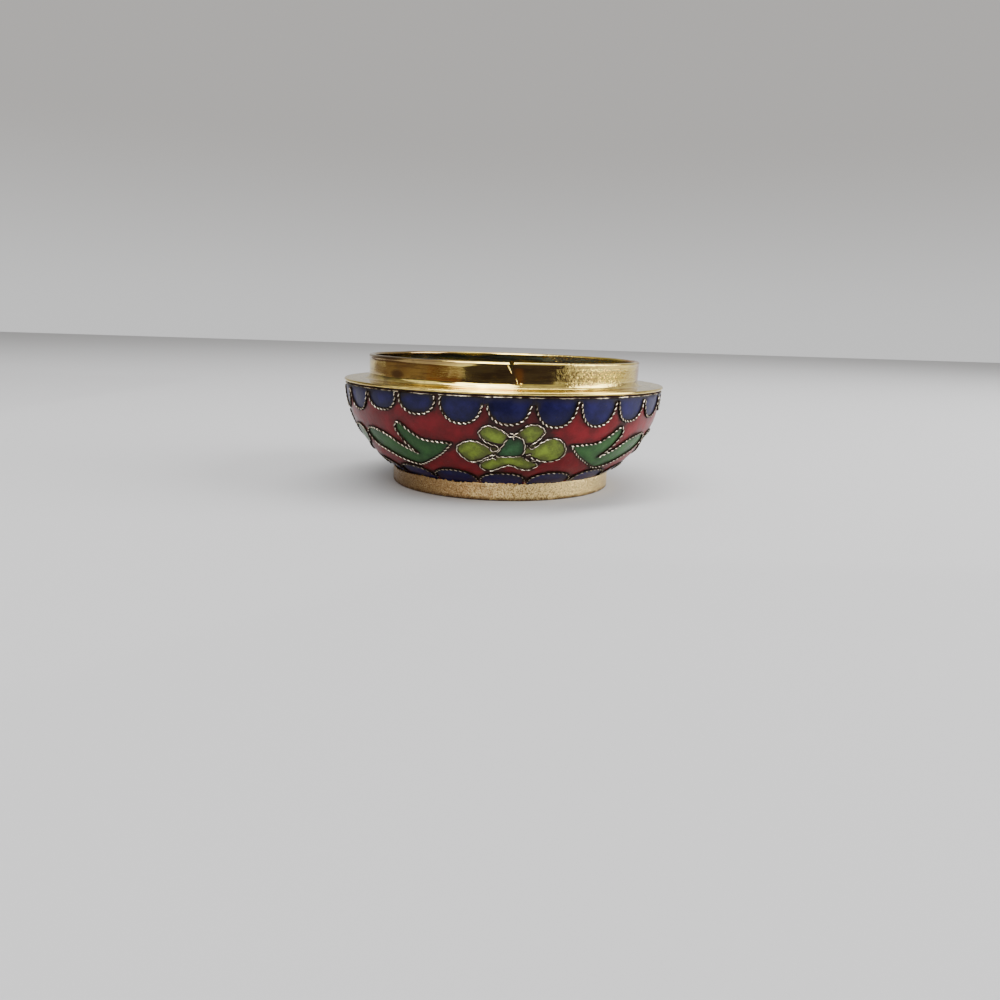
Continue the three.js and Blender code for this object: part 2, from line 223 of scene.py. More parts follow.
class Finish:
    """A surface finish: constants sit on the shader, and what varies is worked out in nodes."""

    def __init__(self, name, tree=None, **constants):
        if tree is None:
            self.material = bpy.data.materials.new(name)
            self.material.use_nodes = True
            tree = self.material.node_tree
            self.shader = tree.nodes["Principled BSDF"]
            for socket, value in constants.items():
                self.shader.inputs[socket.replace("_", " ")].default_value = value
        self.tree = tree

    def join(self, socket, value):
        """Links a signal to a socket, or sets the socket to a plain value."""
        if isinstance(value, Signal):
            self.tree.links.new(value.socket, socket)
        else:
            socket.default_value = value

    def add(self, kind, inputs, output=0, **settings):
        """A new node, with its inputs joined, as the signal of one of its outputs."""
        node = self.tree.nodes.new("ShaderNode" + kind)
        for name, value in settings.items():
            setattr(node, name, value)
        for name, value in inputs.items():
            self.join(node.inputs[name], value)
        return Signal(self, node.outputs[output])

    def point(self):
        """The place on the object, in metres."""
        return self.add("TexCoord", {}, output="Object")

    def attribute(self, name):
        return self.add("Attribute", {}, output="Fac", attribute_name=name)

    def parts(self, vector):
        node = self.tree.nodes.new("ShaderNodeSeparateXYZ")
        self.join(node.inputs[0], vector)
        return [Signal(self, output) for output in node.outputs]

    def vector(self, x, y, z):
        return self.add("CombineXYZ", {"X": x, "Y": y, "Z": z})

    def noise(self, size, detail=2.0, roughness=0.5, at=None):
        inputs = {"Vector": at or self.point(), "Scale": 1 / size, "Detail": detail, "Roughness": roughness}
        return self.add("TexNoise", inputs)

    def cells(self, size):
        """The distance to the nearest of many scattered points, as a share of their spacing."""
        return self.add("TexVoronoi", {"Vector": self.point(), "Scale": 1 / size}, output="Distance")

    def mix(self, factor, first, second):
        """A colour between two colours, each given as three numbers or as a signal."""
        colour = [c if isinstance(c, Signal) else (*c, 1.0) for c in (first, second)]
        return self.add("Mix", {0: factor, 6: colour[0], 7: colour[1]}, output=2, data_type="RGBA")

    def turned(self, along, across):
        """Noise drawn out round the axis, as a lathe leaves it: sizes along the turn and across it."""
        x, y, z = self.parts(self.point())
        radius = (x * x + y * y) ** 0.5
        steady = SHOULDER_RADIUS / along
        drawn_out = self.vector(x / radius * steady, y / radius * steady, (z + radius) / across)
        return self.noise(1.0, 3.0, 0.6, drawn_out)

    def bump(self, height, depth, under=None):
        """A bump of that depth in metres, on top of another bump if there is one."""
        inputs = {"Height": height, "Distance": depth, "Strength": 1.0}
        if under is not None:
            inputs["Normal"] = under
        return self.add("Bump", inputs)

    def set(self, **signals):
        """Joins signals to the shader's own inputs."""
        for socket, value in signals.items():
            self.join(self.shader.inputs[socket.replace("_", " ")], value)
        return self.material


# ---- finishes, with colours as linear red, green and blue ----
# The dark of dirt and of painted shade, in the crevices by the wires and under the shoulder.
DIRT_AND_SHADE = (0.012, 0.007, 0.005)
PETAL_DIRT_AND_SHADE = (0.04, 0.025, 0.012)


def enamel(name, colour, deep, roughness, dirt_and_shade_colour=DIRT_AND_SHADE):
    """Fired enamel: a little cloudy, pitted here and there, with dirt and painted shade where it meets a
    wire and painted shadow under the shoulder.
    """
    made = Finish(name, Specular_IOR_Level=0.22)
    cloud = made.noise(1.6 * MM, 3.0).between(0.35, 0.7)
    mottle = made.noise(0.22 * MM, 3.0, 0.6).between(0.3, 0.75)
    # painted shade: darker near the wires, so each cell's middle reads paler, as if lit
    pale = cloud * 0.75 + mottle * 0.35 - made.attribute("near") * 0.55 + 0.13
    body = made.mix(pale.clamp(), deep, colour)
    pit = 1 - made.cells(0.85 * MM).between(0.035, 0.08)
    # dirt and painted shade in the crevice along each wire
    edge = (made.attribute("crevice") * (0.75 + 0.5 * mottle)).between(0.12, 0.85)
    smudge = made.attribute("near") * made.noise(2.2 * MM, 3.0, 0.6).between(0.5, 0.68)
    # dirt where wires crowd and smudges near them, with the painted shadow under the shoulder
    dirt_and_shade = (made.attribute("dirt_and_shade") + smudge * 0.8 + cloud * 0.3 - 0.15).between(0.1, 0.95)
    body = made.mix(pit * 0.7, body, dirt_and_shade_colour)
    body = made.mix(dirt_and_shade * 0.8, body, dirt_and_shade_colour)
    body = made.mix(edge * 0.9, body, dirt_and_shade_colour)
    fine = made.bump(made.noise(0.09 * MM, 2.0), 0.0035 * MM)
    waves = made.bump(made.noise(0.7 * MM, 2.0), 0.02 * MM, fine)
    pits = made.bump(1 - pit, 0.02 * MM, waves)
    dullness = roughness + cloud * 0.08 + edge * 0.25 + dirt_and_shade * 0.15
    return made.set(Base_Color=body, Roughness=dullness, Normal=pits)


def polished_brass():
    """Spun brass, polished and then worn: turning lines, brown tarnish in patches and fine dents."""
    made = Finish("polished_brass", Metallic=1.0)
    bright, reddish, brown = (0.88, 0.68, 0.17), (0.66, 0.41, 0.12), (0.22, 0.13, 0.07)
    tarnish, olive = (0.17, 0.10, 0.055), (0.58, 0.40, 0.05)
    copper, shade = (0.33, 0.09, 0.04), (0.25, 0.17, 0.06)
    x, y, z = made.parts(made.point())

    # all over: reddish patches, brown stains and streaks
    patch = made.noise(3.2 * MM, 4.0, 0.6).between(0.42, 0.72)
    stain = made.noise(0.9 * MM, 3.0, 0.6).between(0.5, 0.8)
    lines = made.turned(9 * MM, 0.07 * MM)
    streak = made.turned(6 * MM, 0.35 * MM).between(0.48, 0.66)
    colour = made.mix(patch * 0.45, bright, reddish)
    colour = made.mix((stain + streak).clamp() * 0.5, colour, brown)

    # tarnish along the left of the rim, and a spot of it on the wall below
    rim = z.between(16.4 * MM, 16.9 * MM) * (1 - x.between(-9 * MM, -4.5 * MM))
    spot_x, spot_z = -13.3 * MM, 15.3 * MM
    spot = 1 - ((x - spot_x) ** 2 + ((z - spot_z) * 1.6) ** 2).between(0.1 * MM**2, 1.3 * MM**2)
    spot = spot * (1 - y.between(-9 * MM, -8 * MM))
    colour = made.mix((rim * 0.8 + spot * 0.75).clamp(), colour, tarnish)

    # an olive band on the right of the wall, red at its far end
    band = z.between(14.9 * MM, 15.4 * MM) * (1 - z.between(16.2 * MM, 16.6 * MM))
    colour = made.mix(x.between(8 * MM, 11 * MM) * band * 0.6, colour, olive)
    red_end = x.between(17.0 * MM, 17.9 * MM) * z.between(14.6 * MM, 15.3 * MM)
    colour = made.mix(red_end * 0.7, colour, copper)

    # fine dents on the right of the wall, shaded at the nearer end
    hammered = (x + made.noise(2 * MM) * 3 * MM).between(7.6 * MM, 9.2 * MM)
    hammered = hammered * z.between(14.3 * MM, 14.8 * MM)
    dent = made.noise(0.28 * MM, 2.0).between(0.40, 0.58) * hammered * (1 - x.between(9.5 * MM, 14 * MM))
    colour = made.mix((dent * (0.6 + band)).clamp() * 0.9, colour, shade)
    crinkle = made.bump(made.noise(0.3 * MM, 2.0, 0.6) * (0.035 + hammered), 0.06 * MM)
    turning = made.bump(lines, 0.0018 * MM, crinkle)
    return made.set(Base_Color=colour, Roughness=0.07 + stain * 0.12 + lines * 0.05, Normal=turning)


def foot_brass():
    """Brass left matte by the acid bath: grainy and speckled, darker along the floor, with painted shade to
    the left, painted glints and a painted highlight on the right.
    """
    made = Finish("foot_brass", Metallic=1.0)
    ochre, brown = (0.68, 0.50, 0.20), (0.31, 0.18, 0.075)
    pale, gold = (0.93, 0.74, 0.38), (0.92, 0.68, 0.26)
    speck, floor_dark, shade = (0.18, 0.10, 0.04), (0.07, 0.035, 0.018), (0.12, 0.065, 0.03)
    x, _, z = made.parts(made.point())

    # ochre with brown patches, more brown painted towards the left as shade, pale painted glints, and a
    # painted highlight on the right
    patch = (made.noise(1.6 * MM, 3.0, 0.6) - x / (30 * MM) * 1.6).between(0.3, 0.75)
    glint = made.noise(0.19 * MM, 2.0, 0.7).between(0.5, 0.66)
    # painted highlight on the right of the ring: paler and a little glossier
    right_highlight = x.between(3 * MM, 12 * MM)
    colour = made.mix(patch * 0.9, ochre, brown)
    colour = made.mix(glint * (1 - patch * 0.6) * 0.9, colour, pale)
    colour = made.mix(right_highlight * 0.5, colour, gold)

    # dark specks all over, darker along the floor, and painted shade over the left end
    fleck = made.noise(0.22 * MM, 3.0, 0.7).between(0.46, 0.62)
    # darker along the floor
    low = 1 - z.between(0.15 * MM, 0.6 * MM)
    stain = (low * (0.45 + made.noise(0.7 * MM, 3.0).between(0.3, 0.65))).clamp()
    # painted shade over the left end
    left = 1 - x.between(-14 * MM, -4 * MM)
    colour = made.mix(fleck * (0.95 - right_highlight * 0.35), colour, speck)
    colour = made.mix(stain * 0.8, colour, floor_dark)
    colour = made.mix(left * 0.35, colour, shade)

    grain = made.bump(made.noise(0.17 * MM, 3.0, 0.7), 0.07 * MM)
    turning = made.bump(made.turned(6 * MM, 0.1 * MM), 0.004 * MM, grain)
    dullness = 0.32 - right_highlight * 0.06 + fleck * 0.15 + stain * 0.2
    return made.set(Base_Color=colour, Roughness=dullness, Normal=turning)


def gilt(name, roughness):
    """Worn gilding on copper wire: pale on the crowns, and dark with grime and painted shade in the twist
    and down by the enamel.
    """
    made = Finish(name, Metallic=1.0)
    silvery, coppery, black = (0.90, 0.80, 0.62), (0.74, 0.56, 0.36), (0.018, 0.011, 0.007)
    dull = made.noise(0.9 * MM, 3.0).between(0.5, 0.68) * 0.55
    # grime and painted shade, dark in the twist and low down by the enamel
    grime_and_shade = (made.attribute("grime_and_shade") + dull + made.noise(0.4 * MM, 2.0) * 0.4 - 0.2).between(0.15, 0.8)
    wear = made.noise(1.3 * MM, 3.0).between(0.4, 0.75)
    colour = made.mix(wear * 0.5, silvery, coppery)
    colour = made.mix(grime_and_shade, colour, black)
    normal = made.bump(made.noise(0.06 * MM, 2.0), 0.006 * MM)
    return made.set(Base_Color=colour, Roughness=roughness + grime_and_shade * 0.3, Normal=normal)


RED = enamel("red_enamel", (0.19, 0.0045, 0.0095), (0.095, 0.003, 0.0045), 0.30)
BLUE = enamel("blue_enamel", (0.0095, 0.0068, 0.080), (0.0028, 0.002, 0.030), 0.32)
LEAF_GREEN = enamel("leaf_green_enamel", (0.034, 0.11, 0.026), (0.016, 0.056, 0.014), 0.28)
PETAL_GREEN = enamel("petal_green_enamel", (0.21, 0.30, 0.028), (0.085, 0.105, 0.018), 0.28, PETAL_DIRT_AND_SHADE)
CENTRE_GREEN = enamel("centre_green_enamel", (0.034, 0.115, 0.04), (0.013, 0.052, 0.017), 0.28)
COUNTER_BLUE = enamel("counter_enamel", (0.04, 0.09, 0.30), (0.025, 0.055, 0.20), 0.30)
BRASS = polished_brass()
FOOT_BRASS = foot_brass()
ROPE_GILT = gilt("rope_gilt", 0.20)
WIRE_GILT = gilt("wire_gilt", 0.20)


# ---- modelling helpers ----
def only(thing):
    """Leaves one object selected and active."""
    bpy.ops.object.select_all(action="DESELECT")
    thing.select_set(True)
    bpy.context.view_layer.objects.active = thing


def added(name):
    """The object that an operator has just added, under its own name."""
    thing = bpy.context.object
    thing.name = thing.data.name = name
    return thing


def places(thing):
    """Every vertex's place, as rows of x, y and z."""
    spots = np.zeros(len(thing.data.vertices) * 3)
    thing.data.vertices.foreach_get("co", spots)
    return spots.reshape(-1, 3)


def move_to(thing, spots):
    """Puts every vertex in its new place."""
    thing.data.vertices.foreach_set("co", np.asarray(spots, np.float32).ravel())
    thing.data.update()


def write(thing, name, values):
    """Keeps one number for each vertex, for the finish to read."""
    thing.data.attributes.new(name, "FLOAT", "POINT")
    thing.data.attributes[name].data.foreach_set("value", np.asarray(values, np.float32))


def apply_modifiers(thing):
    only(thing)
    for each in list(thing.modifiers):
        bpy.ops.object.modifier_apply(modifier=each.name)


def edit(thing, picked=None):
    """Into edit mode with every vertex selected, or only the picked ones."""
    only(thing)
    bpy.context.tool_settings.mesh_select_mode = (True, False, False)
    if picked is None:
        picked = np.ones(len(thing.data.vertices), bool)
    for parts in (thing.data.polygons, thing.data.edges):
        parts.foreach_set("select", np.full(len(parts), picked.all()))
    thing.data.vertices.foreach_set("select", picked)
    bpy.ops.object.mode_set(mode="EDIT")


def done():
    """Back to object mode."""
    bpy.ops.object.mode_set(mode="OBJECT")


def modifier(thing, kind, **settings):
    made = thing.modifiers.new(kind.lower(), kind)
    for name, value in settings.items():
        setattr(made, name, value)
    return made


def joined(name, things):
    """Several objects made into one, with the first one's vertices first."""
    bpy.ops.object.select_all(action="DESELECT")
    for thing in things:
        thing.select_set(True)
    bpy.context.view_layer.objects.active = things[0]
    bpy.ops.object.join()
    return added(name)


def finish_piece(thing, material, slot, *nodes):
    """Smooths a piece, gives it its finish, and lets it ride in place of its CAD nodes."""
    if material is not None:
        thing.data.materials.clear()
        thing.data.materials.append(material)
    only(thing)
    bpy.ops.object.shade_smooth_by_angle(angle=math.radians(40))
    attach(thing, "root")
    if nodes:
        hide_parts(*nodes)
    return thing


def lathed(name, profile, steps, closed=True):
    """A profile of (radius, z) points swept once round the axis, where an open one starts and ends."""
    bpy.ops.mesh.primitive_circle_add(vertices=len(profile), radius=SHOULDER_RADIUS)
    thing = added(name)
    move_to(thing, [(radius, 0, z) for radius, z in profile])
    if not closed:
        ends = np.zeros(len(profile), bool)
        ends[[0, -1]] = True
        edit(thing, ends)
        bpy.ops.mesh.delete(type="EDGE")
        done()
    modifier(
        thing, "SCREW", steps=steps, render_steps=steps, use_merge_vertices=True, merge_threshold=1e-6,
        use_smooth_shade=True,
    )
    apply_modifiers(thing)
    edit(thing)
    bpy.ops.mesh.remove_doubles(threshold=1e-6)
    bpy.ops.mesh.normals_make_consistent(inside=False)
    done()
    return thing


def arc(centre, half_width, half_height, start, end, steps):
    """Points of (radius, z) on part of an ellipse, the angles in degrees from its outward side."""
    angles = [math.radians(start + (end - start) * i / steps) for i in range(steps + 1)]
    return [(centre[0] + half_width * math.cos(a), centre[1] + half_height * math.sin(a)) for a in angles]


# ---- the wall and the lines on it ----
def on_wall(azimuth, drop, height=0.0):
    """Points on the bowl's wall: a drop down the wall from its top edge, and a height off the enamel."""
    angle = TOP_ANGLE + np.asarray(drop, float) / WALL_MEAN_RADIUS
    outward = np.stack([np.cos(angle) / WALL_HALF_WIDTH, -np.sin(angle) / WALL_HALF_HEIGHT])
    outward = outward / np.linalg.norm(outward, axis=0)
    radius = WALL_CENTRE_RADIUS + WALL_HALF_WIDTH * np.cos(angle) + height * outward[0]
    z = WALL_CENTRE_Z - WALL_HALF_HEIGHT * np.sin(angle) + height * outward[1]
    turn = np.radians(azimuth)
    return np.stack([radius * np.sin(turn), -radius * np.cos(turn), z], axis=-1)


def wall_place(spots):
    """The azimuth and the drop of points near the wall."""
    radius = np.hypot(spots[:, 0], spots[:, 1])
    across = (radius - WALL_CENTRE_RADIUS) / WALL_HALF_WIDTH
    angle = np.arctan2((WALL_CENTRE_Z - spots[:, 2]) / WALL_HALF_HEIGHT, across)
    azimuth = np.degrees(np.arctan2(spots[:, 0], -spots[:, 1]))
    return azimuth, (angle - TOP_ANGLE) * WALL_MEAN_RADIUS


def arch(azimuth, half_angle, start, middle, roundness, steps=48):
    """A scallop's line: steep at both ends and round at the middle."""
    turn = np.linspace(0, math.pi, steps + 1)
    along = np.sign(np.cos(turn)) * np.abs(np.cos(turn)) ** (2 / roundness)
    rise = np.abs(np.sin(turn)) ** (2 / roundness)
    return np.stack([azimuth - half_angle * along, start + (middle - start) * rise], axis=-1)


def smooth(points, spacing=0.12):
    """A smooth line through a motif's points, with even steps, all in millimetres."""
    p = np.array([2 * np.array(points[0]) - points[1], *points, 2 * np.array(points[-1]) - points[-2]])
    t = np.linspace(0, 1, 24, endpoint=False)[:, None]
    runs = []
    for a, b, c, d in zip(p, p[1:], p[2:], p[3:]):
        pull = (2 * a - 5 * b + 4 * c - d) * t**2 + (3 * b - 3 * c + d - a) * t**3
        runs.append(0.5 * (2 * b + (c - a) * t + pull))
    line = np.concatenate([*runs, p[-2:-1]])
    reach = np.concatenate([[0], np.cumsum(np.linalg.norm(np.diff(line, axis=0), axis=1))])
    steps = np.linspace(0, reach[-1], max(int(reach[-1] / spacing), 2) + 1)
    return np.stack([np.interp(steps, reach, line[:, i]) for i in (0, 1)], axis=-1)


def even(line):
    """The same line of (azimuth, drop) with even steps along the wall."""
    scale = (DEGREE_LENGTH, 1)
    reach = np.concatenate([[0], np.cumsum(np.linalg.norm(np.diff(line * scale, axis=0), axis=1))])
    steps = np.linspace(0, reach[-1], int(reach[-1] / LINE_STEP) + 1)
    return np.stack([np.interp(steps, reach, line[:, i]) for i in (0, 1)], axis=-1)


def motif_line(points, motif, mirror=1):
    """A motif's line, in millimetres from the flower's middle, put on the wall."""
    points = np.asarray(points, float)
    turn = np.degrees(mirror * points[:, 0] * MM / MOTIF_RADIUS) * motif["spread"]
    return np.stack([motif["azimuth"] + turn, MOTIF_DROP - points[:, 1] * MM], axis=-1)


def uneven(amount):
    """A random difference, up or down."""
    return hand.uniform(-amount, amount)


def upper_line(i, azimuth):
    """One upper scallop's line, its two tops leaning towards its neighbours or away from them."""
    arch_start = (UPPER_ARCH_START + uneven(0.08)) * MM
    depth = UPPER_DEPTHS[i % len(UPPER_DEPTHS)] * MM
    line = arch(azimuth, UPPER_HALF_ANGLE, arch_start, depth, UPPER_ROUNDNESS + uneven(0.12), 160)
    keep = np.full(len(line), True)
    for side in (-1, 1):
        if (i, side) in OPEN_TOPS:
            lean = OPEN_LEAN + uneven(0.15)
            start = OPEN_START
        else:
            lean = CLOSED_LEAN + uneven(0.08)
            start = LOW_START if (i, side) in LOW_TOPS else CLOSED_START
        start += uneven(0.1)
        this_side = side * (line[:, 0] - azimuth) > 0
        keep &= ~this_side | (line[:, 1] > start * MM)
        near = np.clip(1 - (line[:, 1] - line[:, 1].min()) / LEAN_REACH, 0, 1) * this_side
        line[:, 0] += side * lean * near**2
    return even(line[keep])


def blue_corners(i, azimuth, line):
    """Where an upper scallop's enamel meets the border: by its rope, or just past its neighbour's edge."""
    corners = {-1: line[0, 0], 1: line[-1, 0]}
    for side in (-1, 1):
        if (i, side) not in OPEN_TOPS:
            corners[side] = azimuth + side * (180 / UPPER_COUNT + 0.15)
    return corners


upper_lines = []
upper_corners = []
for i in range(UPPER_COUNT):
    azimuth = UPPER_FIRST_AZIMUTH + 360 / UPPER_COUNT * i
    upper_lines.append(upper_line(i, azimuth))
    upper_corners.append(blue_corners(i, azimuth, upper_lines[-1]))

lower_lines = []
for i in range(LOWER_COUNT):
    azimuth = LOWER_FIRST_AZIMUTH + 360 / LOWER_COUNT * i
    top = LOWER_TOP_DROP + uneven(0.12) * MM
    lower_lines.append(even(arch(azimuth, LOWER_HALF_ANGLE, LOWER_START_DROP, top, LOWER_ROUNDNESS)))

leaf_lines, petal_lines, bend_lines, centre_lines = {}, {}, {}, {}
for number, motif in enumerate(MOTIFS, 1):
    for side, mirror in (("right", 1), ("left", -1)):
        lobes = [smooth(lobe) for lobe in (UPPER_LOBE, LOWER_LOBE)]
        leaf_lines[side, number] = [motif_line(lobe, motif, mirror) for lobe in lobes]
    petal_lines[number] = [motif_line(smooth(petal), motif) for petal in PETALS]
    bend_lines[number] = [motif_line(smooth(bend), motif) for bend in FLOWER_BENDS]
    centre_lines[number] = motif_line(smooth([*CENTRE_OUTLINE, CENTRE_OUTLINE[0]]), motif)

wires = [*upper_lines, *lower_lines, *(line for pair in leaf_lines.values() for line in pair)]
wires += [*(line for lines in bend_lines.values() for line in lines), *centre_lines.values()]
wire_spots = np.concatenate([on_wall(line[:, 0], line[:, 1]) for line in wires])
wire_tree = KDTree(len(wire_spots))
for index, spot in enumerate(wire_spots):
    wire_tree.insert(Vector(spot), index)
wire_tree.balance()


def pooled(spots, drops, reach):
    """How enamel lies between the wires.

    It gives each spot's height off the wall, how deep it is in the crevice along a wire, where dirt and
    painted shade darken it, how dirty it is where wires crowd together within reach, with painted shadow
    added under the shoulder flange, and how near a wire it is.
    """
    near = np.full(len(spots), 3 * MM)
    crowd = np.zeros(len(spots))
    for index, spot in enumerate(spots):
        near[index] = wire_tree.find(Vector(spot))[2]
        if near[index] < reach:
            crowd[index] = sum(1 - hit[2] / reach for hit in wire_tree.find_range(Vector(spot), reach))
    clear = np.maximum(near - ROPE_RADIUS, 0)
    pillow = 0.05 * MM * (1 - np.exp(-clear / (0.45 * MM)))
    climb = 0.05 * MM * np.exp(-clear / (0.07 * MM))
    crevice = np.exp(-clear / (0.075 * MM))
    lone = reach / LINE_STEP
    crowding = np.clip((crowd - 0.85 * lone) / (0.8 * lone), 0, 1)
    # painted shadow under the shoulder flange, darkest at the top of the wall
    under_flange = np.clip(1.25 - drops / (0.9 * MM), 0, 1)
    nearness = np.exp(-((clear / (0.55 * MM)) ** 2))
    return pillow + climb - 0.03 * MM, crevice, crowding + under_flange, nearness


def inside(outline, spots):
    """Which (azimuth, drop) points lie inside a closed outline."""
    x, y = spots[:, 0], spots[:, 1]
    within = np.zeros(len(spots), bool)
    for (ax, ay), (bx, by) in zip(outline, np.roll(outline, -1, axis=0)):
        if ay != by:
            crosses = (ay > y) != (by > y)
            within ^= crosses & (x < ax + (y - ay) * (bx - ax) / (by - ay))
    return within


# ---- the enamel cells ----
def upper_cell(line, ends):
    """An upper scallop's outline: its line, closed along the border."""
    top = 0.12 * MM
    corners = [[ends[1], line[-1, 1]], [ends[1], top], [ends[-1], top], [ends[-1], line[0, 1]]]
    return np.concatenate([line, corners])


def lower_cell(line):
    """A lower scallop's outline: its line, closed just above the hidden lower edge of the wall."""
    foot = WALL_LENGTH - 0.2 * MM
    return np.concatenate([line, [[line[-1, 0], foot], [line[0, 0], foot]]])


upper_cells = [upper_cell(line, ends) for line, ends in zip(upper_lines, upper_corners)]
lower_cells = [lower_cell(line) for line in lower_lines]
cells = {
    "upper_scallop_enamel": (upper_cells, BLUE, "enamel_blue"),
    "lower_scallop_enamel": (lower_cells, BLUE, "enamel_blue"),
}
for number in range(1, len(MOTIFS) + 1):
    leaves = [np.concatenate(leaf_lines[side, number]) for side in ("right", "left")]
    cells[f"leaf_enamel_{number}"] = (leaves, LEAF_GREEN, "enamel_leaf_green")
    cells[f"petal_enamel_{number}"] = (petal_lines[number], PETAL_GREEN, "enamel_petal_green")
    cells[f"flower_centre_enamel_{number}"] = ([centre_lines[number]], CENTRE_GREEN, "enamel_centre_green")


def enamel_cell(outline, lift):
    """One cell's enamel: a fine grid cut to the outline, laid on the wall and pooled between the wires."""
    step = 0.14 * MM
    low, high = outline.min(axis=0), outline.max(axis=0)
    across = max(int((high[0] - low[0]) * DEGREE_LENGTH / step), 4)
    down = max(int((high[1] - low[1]) / step), 4)
    bpy.ops.mesh.primitive_grid_add(x_subdivisions=across, y_subdivisions=down, size=2)
    cell = added("cell")
    flat = (places(cell)[:, :2] * (0.5, -0.5) + 0.5) * (high - low) + low
    within = inside(outline, flat)
    scaled = outline * (DEGREE_LENGTH, 1)
    gaps = np.linalg.norm(flat[:, None] * (DEGREE_LENGTH, 1) - scaled[None], axis=2)
    nearest = gaps.argmin(axis=1)
    gap = gaps.min(axis=1)
    snapped = (gap < 0.6 * step) | (~within & (gap < 0.8 * step))
    flat[snapped] = outline[nearest[snapped]]
    move_to(cell, on_wall(flat[:, 0], flat[:, 1]))
    edit(cell, ~(within | snapped))
    bpy.ops.mesh.delete(type="VERT")
    bpy.ops.mesh.select_all(action="SELECT")
    bpy.ops.mesh.remove_doubles(threshold=0.01 * MM)
    bpy.ops.mesh.dissolve_degenerate(threshold=0.01 * MM)
    done()
    spots = places(cell)
    azimuth, drop = wall_place(spots)
    height, crevice, dirt_and_shade, near = pooled(spots, drop, CELL_REACH)
    move_to(cell, on_wall(azimuth, drop, height + lift))
    write(cell, "crevice", crevice)
    write(cell, "dirt_and_shade", dirt_and_shade * 0.8)
    write(cell, "near", near)
    edit(cell)
    bpy.ops.mesh.normals_make_consistent(inside=False)
    done()
    facing = Vector((0, 0, 0))
    for face in cell.data.polygons:
        facing += face.normal * face.area
    if facing.dot(Vector(on_wall(*outline.mean(axis=0))) * Vector((1, 1, 0))) < 0:
        cell.data.flip_normals()
    return cell


def enamel_cells(name, outlines, material, slot):
    """The enamel of one colour in a run of cells. The flower's centre lies over its petals' edges."""
    lift = 0.02 * MM if name.startswith("flower_centre") else 0.0
    made = [enamel_cell(np.asarray(outline), lift) for outline in outlines]
    piece = joined(name, made)
    modifier(piece, "SOLIDIFY", thickness=CELL_THICKNESS, offset=-1.0)
    apply_modifiers(piece)
    return finish_piece(piece, material, slot)


# ---- the bowl ----
def wall_curve(half_width, half_height, angles):
    """Points of (radius, z) on a quarter ellipse about the wall's own centre."""
    radii = [WALL_CENTRE_RADIUS + half_width * math.cos(angle) for angle in angles]
    levels = [WALL_CENTRE_Z - half_height * math.sin(angle) for angle in angles]
    return list(zip(radii, levels))


def lay_ground(piece):
    """Pools the outer skin between the wires, sinks it under the cells, and notes where it is dirty or
    painted with shade.
    """
    spots = places(piece)
    azimuth, drop = wall_place(spots)
    skin = np.linalg.norm(spots - on_wall(azimuth, drop), axis=1) < 0.05 * MM
    skin &= (drop > -0.05 * MM) & (spots[:, 2] > BOWL_BASE_Z + 0.05 * MM)
    height, crevice, dirt_and_shade, near = np.zeros((4, len(spots)))
    height[skin], crevice[skin], dirt_and_shade[skin], near[skin] = pooled(spots[skin], drop[skin], GROUND_REACH)
    flat = np.stack([azimuth, drop], axis=-1)
    for outline in (np.asarray(outline) for outlines, *_ in cells.values() for outline in outlines):
        for turn in (-360, 0, 360):  # an outline can run past the back, where the azimuths start again
            shifted = outline + (turn, 0)
            close = skin & (azimuth > shifted[:, 0].min()) & (azimuth < shifted[:, 0].max())
            if close.any():
                covered = np.flatnonzero(close)[inside(shifted, flat[close])]
                height[covered] = -CELL_BED
    spots[skin] = on_wall(azimuth[skin], drop[skin], height[skin])
    move_to(piece, spots)
    write(piece, "crevice", crevice)
    write(piece, "dirt_and_shade", dirt_and_shade)
    write(piece, "near", near)


def bowl():
    """The enamelled copper bowl: red ground between the wires outside, and plain blue inside and under."""
    inner_height = WALL_HALF_HEIGHT - WALL_THICKNESS
    floor_z = BOWL_BASE_Z + WALL_THICKNESS
    base_angle = math.asin((WALL_CENTRE_Z - BOWL_BASE_Z) / WALL_HALF_HEIGHT)
    inner_ends = [math.asin((WALL_CENTRE_Z - z) / inner_height) for z in (BOWL_TOP_Z, floor_z)]
    outer = wall_curve(WALL_HALF_WIDTH, WALL_HALF_HEIGHT, np.linspace(base_angle, TOP_ANGLE, 64))
    inner = wall_curve(WALL_HALF_WIDTH - WALL_THICKNESS, inner_height, np.linspace(*inner_ends, 14))
    under = [(outer[0][0] * share, BOWL_BASE_Z) for share in (0, 0.35, 0.7, 0.9)]
    bottom = [(inner[-1][0] * share, floor_z) for share in (0.9, 0.7, 0.35, 0)]
    piece = lathed("enamelled_bowl", [*under, *outer, *inner, *bottom], 600, closed=False)
    lay_ground(piece)
    piece.data.materials.append(RED)
    piece.data.materials.append(COUNTER_BLUE)
    centres = np.zeros(len(piece.data.polygons) * 3)
    piece.data.polygons.foreach_get("center", centres)
    centres = centres.reshape(-1, 3)
    outside = np.linalg.norm(centres - on_wall(*wall_place(centres)), axis=1) < 0.4 * MM
    outside &= centres[:, 2] > BOWL_BASE_Z + 0.02 * MM
    piece.data.polygons.foreach_set("material_index", (~outside).astype(np.int32))
    return finish_piece(piece, None, "enamel_red", "enamel_bowl")


